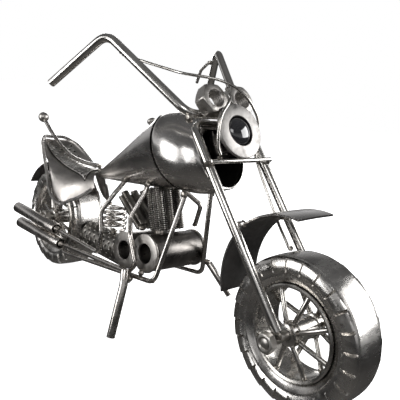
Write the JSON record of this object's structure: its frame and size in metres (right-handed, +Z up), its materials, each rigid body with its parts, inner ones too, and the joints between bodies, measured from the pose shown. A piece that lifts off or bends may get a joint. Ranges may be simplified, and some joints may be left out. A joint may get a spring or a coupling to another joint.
{
  "type": "metal chopper motorcycle sculpture",
  "caption": "Welded steel chopper motorcycle shelf model with turning spoked wheels, a raked fork that steers, cone tank, washer headlight, high handlebar and side mufflers.",
  "frame": {"origin": "on the ground under the rear axle, on the centre plane of the frame", "axes": "+X to the front of the motorcycle, +Y to the rider's left, +Z up"},
  "size_m": [0.319, 0.128, 0.1755],
  "materials": {
    "frame_rod": "bright steel rod, welded",
    "fork_rod": "bright steel rod, polished",
    "wheel_steel": "bright steel rim and spokes",
    "tyre_steel": "formed steel tyre with pressed tread ribs, satin",
    "sheet": "polished steel sheet",
    "dark_sheet": "dark steel sheet and tube",
    "hardware": "plain washers, nuts and fittings",
    "studs": "threaded steel stud",
    "cable": "thin twisted steel wire",
    "lens": "black gloss dome"
  },
  "bodies": {
    "frame": {"frame_rail_right": "frame_rod", "frame_rail_left": "frame_rod", "header_pipe_front": "frame_rod", "header_pipe_rear": "frame_rod", "header_pipe_left": "frame_rod", "muffler_upper": "frame_rod", "muffler_lower": "frame_rod", "sissy_bar": "frame_rod", "stand_leg": "frame_rod", "stand_boss": "frame_rod", "foot_peg_left": "frame_rod", "engine_coil": "frame_rod", "tank_cone": "sheet", "tank_front_shell": "sheet", "seat_pan": "sheet", "crankcase_tube_front": "dark_sheet", "crankcase_tube_rear": "dark_sheet", "gearbox_tube": "dark_sheet", "head_tube": "dark_sheet", "rear_fender": "dark_sheet", "seat_perforated_inlay": "dark_sheet", "crankcase_washer_front_right": "hardware", "crankcase_washer_front_left": "hardware", "crankcase_washer_rear_right": "hardware", "crankcase_washer_rear_left": "hardware", "rear_axle": "hardware", "rear_axle_nut_right": "hardware", "rear_axle_nut_left": "hardware", "filler_cap": "hardware", "sissy_bar_ball": "hardware", "cylinder_studs_front_right": "studs", "cylinder_studs_front_middle": "studs", "cylinder_studs_front_left": "studs", "cylinder_studs_rear_right": "studs", "cylinder_studs_rear_middle": "studs", "cylinder_studs_rear_left": "studs", "seat_trim": "cable"},
    "rear_wheel": {"rear_tyre": "tyre_steel", "rear_spoked_wheel": "wheel_steel"},
    "front_wheel": {"front_tyre": "tyre_steel", "front_spoked_wheel": "wheel_steel"},
    "fork": {"steering_stem": "dark_sheet", "fork_legs": "fork_rod", "fork_brace": "fork_rod", "headlight_washer": "hardware", "headlight_cup": "dark_sheet", "headlight_lens": "lens", "gauge_nut_right": "hardware", "gauge_nut_left": "hardware", "handlebar": "fork_rod", "lever_right": "fork_rod", "lever_left": "fork_rod", "front_fender": "sheet", "fender_bracket_right": "fork_rod", "fender_bracket_left": "fork_rod", "brake_cable": "cable", "clutch_cable": "cable", "front_axle": "hardware", "front_axle_nut_right": "hardware", "front_axle_nut_left": "hardware"}
  },
  "joints": [
    {"name": "rear_wheel_spin", "type": "hinge", "parent": "frame", "child": "rear_wheel", "pos_m": [0, 0, 0.038], "axis": [0, 1, 0], "continuous": true},
    {"name": "steering", "type": "hinge", "parent": "frame", "child": "fork", "pos_m": [0.1587, 0, 0.114], "axis": [-0.6541, 0, 0.7564], "range_deg": [-6, 16]},
    {"name": "front_wheel_spin", "type": "hinge", "parent": "fork", "child": "front_wheel", "pos_m": [0.22799, -0.00025, 0.03837], "axis": [0.0646, 0.9963, 0.0559], "continuous": true}
  ]
}
